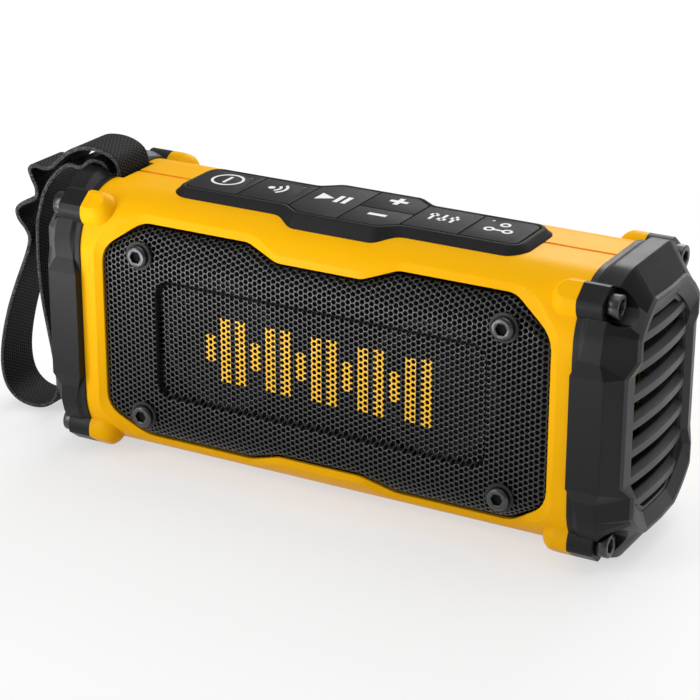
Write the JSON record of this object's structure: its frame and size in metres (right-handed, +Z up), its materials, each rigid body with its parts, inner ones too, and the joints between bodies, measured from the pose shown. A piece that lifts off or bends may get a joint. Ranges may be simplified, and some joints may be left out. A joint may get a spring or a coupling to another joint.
{
  "type": "jobsite bluetooth speaker",
  "caption": "Rugged box speaker with a perforated front grille, louvred end caps over passive radiators, a top keypad and a webbing wrist strap.",
  "frame": {"origin": "on the surface that the speaker stands on, midway between its end caps and midway between its front and back", "axes": "+X to the right along the body, seen from the front; -Y is the front with the grille; +Z is up"},
  "size_m": [0.31, 0.0862, 0.1268],
  "materials": {
    "shell": "satin moulded, fine texture",
    "seal": "matte",
    "grille": "satin black",
    "washers": "matte",
    "screws": "black oxide",
    "caps": "matte moulded",
    "louvers": "matte moulded",
    "keypad": "matte moulded",
    "lights": "clear",
    "boards": "solder mask",
    "switches": "satin",
    "inner_plastic": "matte",
    "soft_rubber": "matte",
    "driver_metal": "satin",
    "cones": "matte",
    "heat_sink": "satin",
    "cells": "sleeved",
    "bright_metal": "satin",
    "cover_rubber": "matte",
    "webbing": "woven"
  },
  "bodies": {
    "speaker": {"front_housing": "shell", "rear_housing": "shell", "housing_seal": "seal", "housing_screws": "screws", "baffle": "inner_plastic", "grille": "grille", "grille_washers": "washers", "grille_screws": "screws", "left_end_cap": "caps", "right_end_cap": "caps", "left_vent_louver": "louvers", "right_vent_louver": "louvers", "left_cap_screws": "screws", "right_cap_screws": "screws", "left_radiator_frame": "inner_plastic", "right_radiator_frame": "inner_plastic", "left_radiator_surround": "soft_rubber", "right_radiator_surround": "soft_rubber", "left_driver_gasket": "soft_rubber", "right_driver_gasket": "soft_rubber", "left_driver_basket": "driver_metal", "right_driver_basket": "driver_metal", "left_driver_magnet": "driver_metal", "right_driver_magnet": "driver_metal", "left_driver_surround": "soft_rubber", "right_driver_surround": "soft_rubber", "keypad_frame": "keypad", "key_board": "boards", "key_switches": "switches", "main_board": "boards", "board_screws": "screws", "heat_sink": "heat_sink", "battery_holder": "inner_plastic", "battery_cells": "cells", "usb_socket": "bright_metal", "port_hinge_pin": "bright_metal", "strap_bar": "bright_metal"},
    "power_key_body": {"power_key": "keypad", "power_light": "lights"},
    "pairing_key_body": {"pairing_key": "keypad", "pairing_light": "lights"},
    "play_key_body": {"play_key": "keypad"},
    "volume_up_key_body": {"volume_up_key": "keypad"},
    "volume_down_key_body": {"volume_down_key": "keypad"},
    "tone_key_body": {"tone_key": "keypad"},
    "link_key_body": {"link_key": "keypad", "link_light": "lights"},
    "left_cone_body": {"left_driver_cone": "cones"},
    "right_cone_body": {"right_driver_cone": "cones"},
    "left_radiator_body": {"left_radiator_plate": "cones"},
    "right_radiator_body": {"right_radiator_plate": "cones"},
    "port_cover_body": {"port_cover": "cover_rubber"},
    "strap_body": {"wrist_strap": "webbing"}
  },
  "joints": [
    {"name": "power_key_press", "type": "slide", "parent": "speaker", "child": "power_key_body", "axis": [0, 0, -1], "range_m": [0, 0.0008], "stiffness_N_per_m": 1500},
    {"name": "pairing_key_press", "type": "slide", "parent": "speaker", "child": "pairing_key_body", "axis": [0, 0, -1], "range_m": [0, 0.0008], "stiffness_N_per_m": 1500},
    {"name": "play_key_press", "type": "slide", "parent": "speaker", "child": "play_key_body", "axis": [0, 0, -1], "range_m": [0, 0.0008], "stiffness_N_per_m": 1500},
    {"name": "volume_up_key_press", "type": "slide", "parent": "speaker", "child": "volume_up_key_body", "axis": [0, 0, -1], "range_m": [0, 0.0008], "stiffness_N_per_m": 1500},
    {"name": "volume_down_key_press", "type": "slide", "parent": "speaker", "child": "volume_down_key_body", "axis": [0, 0, -1], "range_m": [0, 0.0008], "stiffness_N_per_m": 1500},
    {"name": "tone_key_press", "type": "slide", "parent": "speaker", "child": "tone_key_body", "axis": [0, 0, -1], "range_m": [0, 0.0008], "stiffness_N_per_m": 1500},
    {"name": "link_key_press", "type": "slide", "parent": "speaker", "child": "link_key_body", "axis": [0, 0, -1], "range_m": [0, 0.0008], "stiffness_N_per_m": 1500},
    {"name": "left_cone_stroke", "type": "slide", "parent": "speaker", "child": "left_cone_body", "axis": [0, -1, 0], "range_m": [-0.002, 0.002], "stiffness_N_per_m": 1200, "deforming": ["left_driver_surround"]},
    {"name": "right_cone_stroke", "type": "slide", "parent": "speaker", "child": "right_cone_body", "axis": [0, -1, 0], "range_m": [-0.002, 0.002], "stiffness_N_per_m": 1200, "deforming": ["right_driver_surround"]},
    {"name": "left_radiator_stroke", "type": "slide", "parent": "speaker", "child": "left_radiator_body", "axis": [-1, 0, 0], "range_m": [-0.003, 0.003], "stiffness_N_per_m": 900, "deforming": ["left_radiator_surround"]},
    {"name": "right_radiator_stroke", "type": "slide", "parent": "speaker", "child": "right_radiator_body", "axis": [1, 0, 0], "range_m": [-0.003, 0.003], "stiffness_N_per_m": 900, "deforming": ["right_radiator_surround"]},
    {"name": "port_cover_hinge", "type": "hinge", "parent": "speaker", "child": "port_cover_body", "pos_m": [0.058, 0.0372, 0.0437], "axis": [1, 0, 0], "range_deg": [0, 100]},
    {"name": "strap_swing", "type": "hinge", "parent": "speaker", "child": "strap_body", "pos_m": [-0.1123, 0, 0.1146], "axis": [0, 1, 0], "range_deg": [0, 30]}
  ]
}
